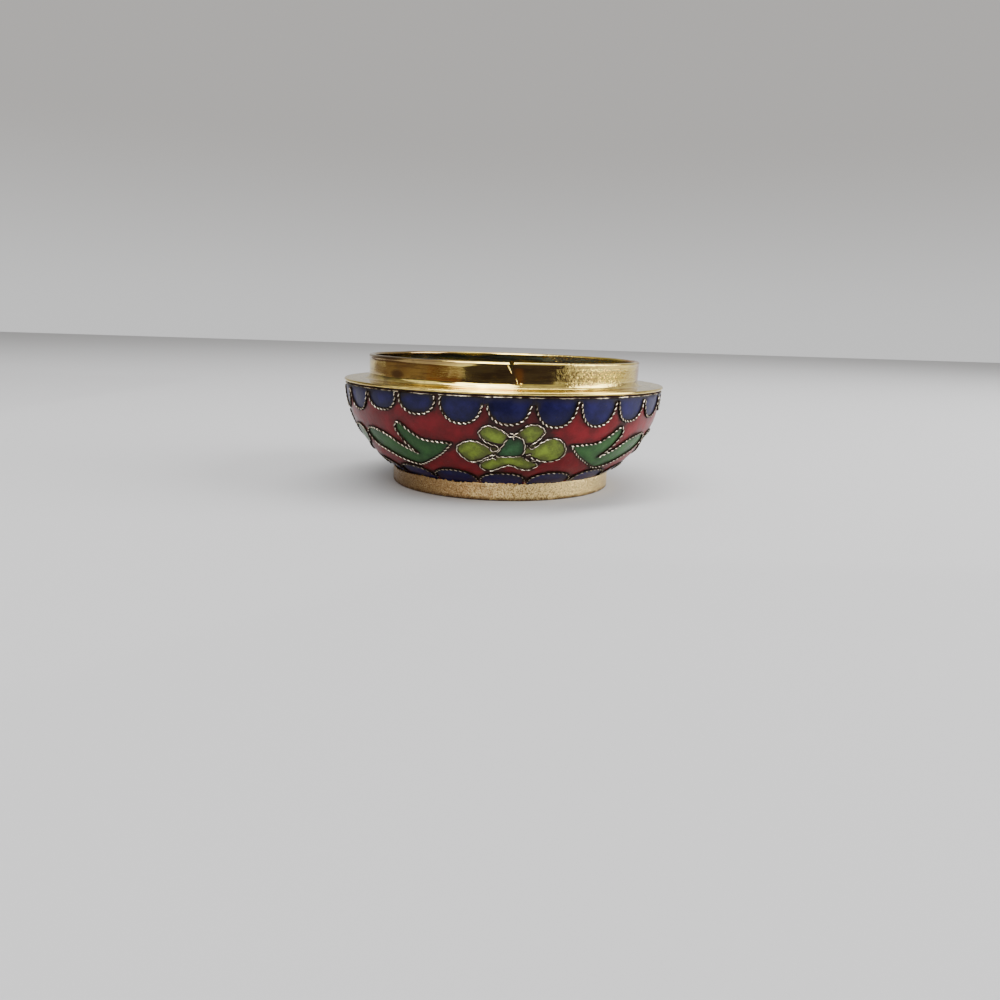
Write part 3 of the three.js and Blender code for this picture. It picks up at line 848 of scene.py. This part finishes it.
# ---- wires ----
def straight_rope(name, radius, pitch, steps):
    """One full twist of two strands along X, to be copied along each wire."""
    strand = radius / 2
    strands = []
    for side in (1, -1):
        bpy.ops.mesh.primitive_circle_add(vertices=8, radius=strand, location=(side * strand, 0, 0))
        bpy.ops.object.transform_apply(location=True)
        strands.append(added("strand"))
    rope = joined(name, strands)
    modifier(rope, "SCREW", steps=steps, render_steps=steps, screw_offset=pitch, use_smooth_shade=True)
    apply_modifiers(rope)
    spots = places(rope)
    write(rope, "grime_and_shade", np.zeros(len(spots)))
    move_to(rope, spots[:, [2, 1, 0]] * (1, 1, -1))
    return rope


def wire_route(name, spots):
    """A route for a wire to follow."""
    line = bpy.data.curves.new(name, "CURVE")
    line.dimensions = "3D"
    spline = line.splines.new("POLY")
    spline.points.add(len(spots) - 1)
    for point, spot in zip(spline.points, spots):
        point.co = (*spot, 1)
    route = bpy.data.objects.new(name, line)
    bpy.context.scene.collection.objects.link(route)
    return route


def twisted_wire(name, pattern, pitch, line, dark, bright):
    """A twisted wire along a line of the wall, painted dark with grime and shade up to one height off it and
    bright from another.
    """
    spots = on_wall(line[:, 0], line[:, 1], WIRE_HEIGHT)
    length = np.linalg.norm(np.diff(spots, axis=0), axis=1).sum()
    turns = max(round(length / pitch), 1)
    wire = pattern.copy()
    wire.data = pattern.data.copy()
    wire.name = wire.data.name = name
    bpy.context.scene.collection.objects.link(wire)
    move_to(wire, places(wire) * (length / turns / pitch, 1, 1))
    modifier(
        wire, "ARRAY", count=turns, use_relative_offset=False, use_constant_offset=True,
        constant_offset_displace=(length / turns, 0, 0), use_merge_vertices=True, merge_threshold=0.004 * MM,
    )
    route = wire_route(name + "_route", spots)
    modifier(wire, "CURVE", object=route, deform_axis="POS_X")
    apply_modifiers(wire)
    bpy.data.objects.remove(route)
    edit(wire)
    bpy.ops.mesh.fill_holes(sides=0)
    bpy.ops.mesh.select_all(action="SELECT")
    bpy.ops.mesh.normals_make_consistent(inside=False)
    done()
    spots = places(wire)
    azimuth, drop = wall_place(spots)
    rise = np.linalg.norm(spots - on_wall(azimuth, drop), axis=1)
    # painted shade and grime: the lower a point sits on the wire, the darker it is
    grime_and_shade = np.clip((bright - rise) / (bright - dark), 0, 1)
    wire.data.attributes["grime_and_shade"].data.foreach_set("value", grime_and_shade.astype(np.float32))
    return wire


def finish_wire(wire, material, node):
    """Finishes a wire in place of its CAD node, smooth all over."""
    finish_piece(wire, material, "gilt_wire", node)
    only(wire)
    bpy.ops.object.shade_smooth()


def lay_wires():
    """Every twisted wire of the pattern. A leaf's or a flower's wire is several, soldered together."""
    rope = straight_rope("rope_pattern", ROPE_RADIUS, ROPE_PITCH, 14)
    thin = straight_rope("thin_pattern", PETAL_WIRE_RADIUS, PETAL_WIRE_PITCH, 20)

    def laid_rope(name, line, bright=ROPE_BRIGHT):
        return twisted_wire(name, rope, ROPE_PITCH, line, ROPE_DARK, bright)

    def laid_thin(line):
        return twisted_wire("bend", thin, PETAL_WIRE_PITCH, line, PETAL_WIRE_DARK, PETAL_WIRE_BRIGHT)

    for i, line in enumerate(upper_lines, 1):
        finish_wire(laid_rope(f"upper_scallop_rope_{i}", line), ROPE_GILT, f"upper_scallop_wire_{i}")
    for i, line in enumerate(lower_lines, 1):
        wire = laid_rope(f"lower_scallop_rope_{i}", line, LOW_ROPE_BRIGHT)
        finish_wire(wire, ROPE_GILT, f"lower_scallop_wire_{i}")
    for (side, number), lines in leaf_lines.items():
        halves = [laid_rope("half", line) for line in lines]
        finish_wire(joined(f"{side}_leaf_rope_{number}", halves), ROPE_GILT, f"{side}_leaf_wire_{number}")
    for number, lines in bend_lines.items():
        bends = [laid_thin(line) for line in [*lines, centre_lines[number]]]
        finish_wire(joined(f"flower_bent_wire_{number}", bends), WIRE_GILT, f"flower_wire_{number}")
    for pattern in (rope, thin):
        bpy.data.objects.remove(pattern)


def border_band():
    """The plain wire under the shoulder, a little uneven where it was pressed down, worn in places, and
    painted with shade along its lower half.
    """
    radius, z = on_wall(0, 0.2 * MM, 0.03 * MM)[1:] * (-1, 1)
    piece = lathed("border_band", arc((radius, z), 0.09 * MM, 0.07 * MM, 0, 330, 11), 720)
    spots = places(piece)
    turn = np.arctan2(spots[:, 0], -spots[:, 1])
    sway = 0.02 * MM * np.sin(7 * turn + 1) + 0.015 * MM * np.sin(19 * turn)
    spots[:, 2] += sway
    move_to(piece, spots)
    worn = 0.15 * np.sin(31 * turn) + 0.12 * np.sin(47 * turn + 2) + 0.12 * np.sin(113 * turn)
    # wear in places, with painted shade on the lower half of the wire
    write(piece, "grime_and_shade", 0.5 + worn + (spots[:, 2] < z) * 0.3)
    return finish_piece(piece, WIRE_GILT, "gilt_wire", "border_wire")


# ---- brass ----
def collar():
    """The spun collar: shoulder flange, cove, straight wall and rolled rim, with the nick cut in."""
    edge = (FLANGE_TOP_Z - FLANGE_UNDER_Z) / 2
    rim_half = COLLAR_WALL / 2 + 0.03 * MM
    inner = COLLAR_RADIUS - COLLAR_WALL
    rim_z = COLLAR_TOP_Z - rim_half
    cove_middle = (COLLAR_RADIUS + COVE_RADIUS, FLANGE_TOP_Z + COVE_RADIUS)
    wall_from = FLANGE_TOP_Z + COVE_RADIUS
    wall_height = rim_z - wall_from
    profile = [(inner, FLANGE_UNDER_Z), ((inner + SHOULDER_RADIUS) / 2, FLANGE_UNDER_Z)]
    profile += arc((SHOULDER_RADIUS - edge, FLANGE_UNDER_Z + edge), edge, edge, -90, 90, 10)
    profile += [(COLLAR_RADIUS + COVE_RADIUS + share * 2 * MM, FLANGE_TOP_Z) for share in (0.8, 0.4)]
    profile += arc(cove_middle, COVE_RADIUS, COVE_RADIUS, 270, 180, 12)
    profile += [(COLLAR_RADIUS, wall_from + wall_height * share) for share in (0.2, 0.4, 0.6, 0.8, 0.92)]
    profile += arc((COLLAR_RADIUS - COLLAR_WALL / 2, rim_z), rim_half + 0.02 * MM, rim_half, 0, 180, 14)
    profile += [(inner, wall_from + wall_height * share) for share in (0.8, 0.5, 0.2)]
    piece = lathed("spun_collar", profile, 360)
    spots = places(piece)
    turn = np.arctan2(spots[:, 0], -spots[:, 1])
    level = (spots[:, 2] - FLANGE_TOP_Z) / (COLLAR_TOP_Z - FLANGE_TOP_Z)
    sway = 0.02 * np.sin(3 * turn + 0.6) + 0.012 * np.sin(8 * turn + 4 * level)
    sway += 0.007 * np.sin(17 * turn - 5 * level)
    swell = 1 + sway * MM / COLLAR_RADIUS
    dip = np.minimum(0.02 * MM * np.sin(5 * turn + 2) + 0.01 * MM * np.sin(13 * turn), 0)
    wall = spots[:, 2] >= FLANGE_TOP_Z + 0.1 * MM
    rim = wall & (level > 0.9)
    spots[wall, :2] *= swell[wall, None]
    spots[rim, 2] += dip[rim]
    move_to(piece, spots)
    nick = wedge()
    modifier(piece, "BOOLEAN", operation="DIFFERENCE", object=nick, solver="EXACT")
    apply_modifiers(piece)
    bpy.data.objects.remove(nick)
    return finish_piece(piece, BRASS, "brass_polished", "collar")


def wedge():
    """The tool that cuts the nick: a three-sided bar through the wall, point down and a little askew."""
    half_width, height, askew = 0.46 * MM, 1.6 * MM, 0.08 * MM
    point_z = COLLAR_TOP_Z - 1.1 * MM
    bpy.ops.mesh.primitive_cylinder_add(vertices=3, radius=1, depth=2 * MM)
    bar = added("wedge")
    spots = places(bar)
    spots[:, :2] /= np.abs(spots[:, :2]).max(axis=0)
    point = spots[:, 1] > 0.5
    x = np.where(point, askew, spots[:, 0] * half_width)
    z = np.where(point, 0, height) + point_z
    move_to(bar, np.stack([x, spots[:, 2] - COLLAR_RADIUS, z], axis=-1))
    bar.data.transform(Matrix.Rotation(math.radians(NICK_AZIMUTH), 4, "Z"))
    edit(bar)
    bpy.ops.mesh.normals_make_consistent(inside=False)
    done()
    return bar


def solder_bits():
    """The burr that the nick threw up, and the seam's last thread and drop of solder."""
    # The threads' points are ((x, z), half-thickness), in millimetres, on the front of the wall.
    burr = [((0.36, 17.12), 0.05), ((0.52, 16.8), 0.08), ((0.72, 16.42), 0.085), ((0.9, 16.12), 0.05)]
    seam = [((1.42, 15.5), 0.03), ((1.55, 15.2), 0.06), ((1.6, 14.95), 0.05), ((1.72, 14.75), 0.03)]
    drop_place = (2.06 * MM, -COLLAR_RADIUS, 14.88 * MM)
    made = []
    for thread in (burr, seam):
        bpy.ops.mesh.primitive_cylinder_add(vertices=12, radius=1, depth=2, end_fill_type="TRIFAN")
        edit(bpy.context.object)
        bpy.ops.mesh.subdivide(number_cuts=5)
        done()
        bit = added("bit")
        spots = places(bit)
        order = range(len(thread))
        along = (spots[:, 2] + 1) / 2 * (len(thread) - 1)
        middle_x, middle_z = [np.interp(along, order, [spot[i] for spot, _ in thread]) * MM for i in (0, 1)]
        thick = np.interp(along, order, [half for _, half in thread]) * MM
        x = middle_x + spots[:, 0] * thick
        y = -np.sqrt(COLLAR_RADIUS**2 - middle_x**2) + spots[:, 1] * thick * 0.9
        move_to(bit, np.stack([x, y, middle_z], axis=-1))
        made.append(bit)
    bpy.ops.mesh.primitive_uv_sphere_add(segments=20, ring_count=12, radius=0.13 * MM, location=drop_place)
    bpy.ops.object.transform_apply(location=True)
    made.append(added("drop"))
    return finish_piece(joined("solder_bits", made), BRASS, "brass_polished")


def foot():
    """The foot ring, soldered on a little off centre, with a rough upper edge where the enamel stops."""
    top_z = foot_high.z + 0.1 * MM
    bottom_edge = 0.22 * MM
    small_edge = 0.1 * MM
    inner_top_z = 1.35 * MM
    profile = [(FOOT_INNER_RADIUS, small_edge), (FOOT_INNER_RADIUS + small_edge, 0)]
    profile += [(FOOT_RADIUS - bottom_edge, 0)]
    profile += arc((FOOT_RADIUS - bottom_edge, bottom_edge), bottom_edge, bottom_edge, -75, 0, 6)
    profile += [(FOOT_RADIUS, top_z * share) for share in (0.3, 0.5, 0.7, 0.85)]
    profile += arc((FOOT_RADIUS - small_edge, top_z - small_edge), small_edge, small_edge, 0, 90, 4)
    profile += [(FOOT_INNER_RADIUS, inner_top_z)]
    piece = lathed("turned_foot", profile, 900)
    spots = places(piece)
    turn = np.arctan2(spots[:, 0], -spots[:, 1])
    # The edge wanders in long waves, is ragged in short ones, and sits a little higher on one side.
    rough = 0.05 * np.sin(9 * turn + 2) + 0.04 * np.sin(23 * turn) + 0.035 * np.sin(61 * turn + 1)
    rough += 0.08 * np.sin(97 * turn) * np.sin(5 * turn + 1) + 0.07 * np.sin(173 * turn + 2)
    rough += 0.12 * np.sin(turn)
    near_top = np.clip((spots[:, 2] / top_z - 0.6) / 0.4, 0, 1)
    spots[:, 2] += rough * MM * near_top
    spots[:, :2] *= (1 + 0.02 * MM / FOOT_RADIUS * np.sin(6 * turn))[:, None]
    spots[:, 0] += FOOT_OFFSET
    move_to(piece, spots)
    return finish_piece(piece, FOOT_BRASS, "brass_foot", "foot_ring")


# ---- the stage ----
def camera():
    """A close wide lens, from just above the rim, tipped down and rolled a little."""
    tip_down, roll = 12.14, 1.79
    bpy.ops.object.camera_add(location=(0, -113.5 * MM, 21.3 * MM))
    eye = bpy.context.object
    eye.data.lens = 28.8
    eye.data.sensor_width = 36
    eye.data.clip_start = 1 * MM
    eye.data.clip_end = 10
    tip = Matrix.Rotation(math.radians(90 - tip_down), 4, "X") @ Matrix.Rotation(math.radians(roll), 4, "Z")
    eye.rotation_euler = tip.to_euler()
    bpy.context.scene.camera = eye


def softbox(name, place, size, power, only_gloss=False):
    """A rectangular light that faces the box, or one that only reflections show."""
    bpy.ops.object.light_add(type="AREA", location=place)
    lamp = added(name)
    lamp.data.shape = "RECTANGLE"
    lamp.data.size, lamp.data.size_y = size
    lamp.data.energy = power
    lamp.visible_diffuse = not only_gloss
    lamp.rotation_euler = (-Vector(place)).to_track_quat("-Z", "Y").to_euler()


def floor():
    """A plain pale sheet to stand on."""
    bpy.ops.mesh.primitive_plane_add(size=1.6)
    sheet = added("floor")
    paper = Finish("floor", Base_Color=(0.62, 0.62, 0.63, 1), Roughness=0.9)
    sheet.data.materials.append(paper.material)


def card(name, place, size, colour, facing=None, box_edge=1.0):
    """A board that only reflections see, flat on the floor, or standing and facing a way round.

    A flat one's edge by the box can be narrower than its other edge, by the share box_edge.
    """
    tilt = (0, 0, 0) if facing is None else (math.pi / 2, 0, math.radians(facing))
    bpy.ops.mesh.primitive_plane_add(size=1, location=place, rotation=tilt)
    board = added(name)
    board.scale = (*size, 1)
    corners = places(board)
    corners[corners[:, 1] > 0, 0] *= box_edge
    move_to(board, corners)
    paint = Finish(name, Base_Color=(*colour, 1), Roughness=1.0, Specular_IOR_Level=0.0)
    board.data.materials.append(paint.material)
    for ray in ("camera", "diffuse", "shadow", "transmission", "volume_scatter"):
        setattr(board, "visible_" + ray, False)


def room():
    """Soft light from all round: brighter above, behind and to the right, dim to the left."""
    world = bpy.data.worlds.new("room")
    bpy.context.scene.world = world
    world.use_nodes = True
    sky = Finish("room", tree=world.node_tree)
    x, y, z = sky.parts(sky.add("TexCoord", {}, output="Generated"))
    up = z.between(-0.05, 0.9)
    right = x.between(-0.9, 0.95)
    back = y.between(0.3, 1.0) * (1 - z.between(0.1, 0.7))
    light = 0.07 + up * 0.28 + right * 0.40 + back * 0.35
    seen = sky.add("LightPath", {}, output="Is Camera Ray")
    backdrop = sky.mix(z.between(-0.02, 0.22), (0.80, 0.80, 0.80), (0.52, 0.505, 0.49))
    lit = sky.mix(seen, sky.vector(light, light * 0.98, light * 0.95), backdrop)
    sky.join(world.node_tree.nodes["Background"].inputs["Color"], lit)


camera()
floor()

# What the polished brass reflects, each at its place and of its size in metres.
card("warm_card", (-0.36, -0.10, 0.0005), (0.50, 0.56), (0.125, 0.09, 0.09))
card("dark_card", (0.025, -0.17, 0.001), (0.47, 0.26), (0.028, 0.022, 0.036), box_edge=0.12)
card("warm_board", (-0.40, -0.01, 0.02), (0.38, 0.04), (0.16, 0.115, 0.11), facing=90)
card("rust_board", (-0.30, -0.265, 0.02), (0.26, 0.04), (0.20, 0.095, 0.065), facing=-33)
card("dark_board", (0.025, -0.30, 0.022), (0.47, 0.044), (0.034, 0.027, 0.044), facing=0)
card("warm_strip", (0.062, -0.296, 0.022), (0.03, 0.044), (0.10, 0.045, 0.04), facing=0)
card("rust_card", (-0.18, -0.20, 0.0008), (0.16, 0.20), (0.075, 0.042, 0.036))
room()
softbox("front_window", (-0.13, -0.42, 0.30), (0.42, 0.38), 4.4, only_gloss=True)
softbox("left_glow", (-0.48, -0.12, 0.34), (0.40, 0.40), 0.5, only_gloss=True)
softbox("high_window", (-0.06, -0.27, 0.50), (0.20, 0.40), 2.6, only_gloss=True)
softbox("overhead", (-0.03, -0.02, 0.50), (0.13, 0.90), 3.4)
softbox("right_side", (0.45, -0.05, 0.20), (0.30, 0.30), 3.0)

bowl()
for name, (outlines, material, slot) in cells.items():
    enamel_cells(name, outlines, material, slot)
lay_wires()
border_band()
collar()
solder_bits()
foot()
